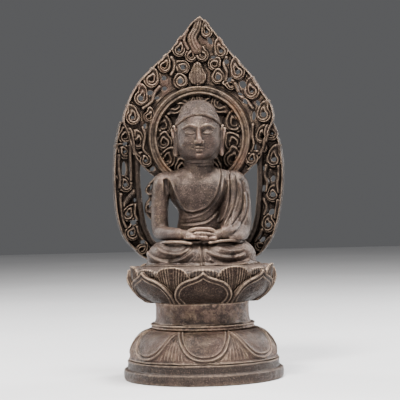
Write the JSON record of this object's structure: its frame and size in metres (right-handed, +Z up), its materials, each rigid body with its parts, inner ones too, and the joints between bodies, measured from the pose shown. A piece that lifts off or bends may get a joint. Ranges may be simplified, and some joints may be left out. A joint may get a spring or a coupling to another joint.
{
  "type": "seated buddha statue",
  "caption": "Figure seated in meditation on a double lotus pedestal, with a pierced two-part mandorla that lifts out of a socket in the seat behind it.",
  "frame": {"origin": "centre of the pedestal's round base, on the surface it stands on", "axes": "+Z up along the pedestal's axis, -Y is the front that the figure faces, +X is on the figure's left"},
  "size_m": [0.1428, 0.13, 0.298],
  "materials": {
    "pedestal_bronze": "dark brown patina over a granular cast surface, ochre dirt in the recesses, tan wear on the edges",
    "figure_bronze": "brown-grey patina rubbed to a dull mauve-grey sheen on the high points",
    "hair_bronze": "near-black brown patina, matt",
    "mandorla_bronze": "dark brown patina, worn pale along the rims, warm orange-brown in the recesses",
    "rivet_bronze": "peened, half worn",
    "base_plate_bronze": "hammered sheet, dull",
    "forged_iron": "black forged scale with a little rust"
  },
  "bodies": {
    "statue": {"plinth": "pedestal_bronze", "lower_lotus": "pedestal_bronze", "waist_collar": "pedestal_bronze", "waist_drum": "pedestal_bronze", "lotus_bowl": "pedestal_bronze", "inner_petals": "pedestal_bronze", "outer_petals": "pedestal_bronze", "seat_plate": "pedestal_bronze", "legs": "figure_bronze", "torso": "figure_bronze", "right_arm": "figure_bronze", "left_arm": "figure_bronze", "hands": "figure_bronze", "head": "figure_bronze", "hair_cap": "hair_bronze", "petal_rivets": "rivet_bronze", "base_plate": "base_plate_bronze", "tie_rod": "forged_iron", "tie_nut": "forged_iron", "tie_washer": "forged_iron", "strongback": "forged_iron", "base_plate_pins": "forged_iron", "neck_dowel": "forged_iron", "arm_pins": "forged_iron"},
    "mandorla": {"body_nimbus": "mandorla_bronze", "head_nimbus": "mandorla_bronze", "nimbus_rivets": "rivet_bronze"}
  },
  "joints": [
    {"name": "mandorla_lift", "type": "slide", "parent": "statue", "child": "mandorla", "axis": [0, 0, 1], "range_m": [0, 0.03]}
  ]
}
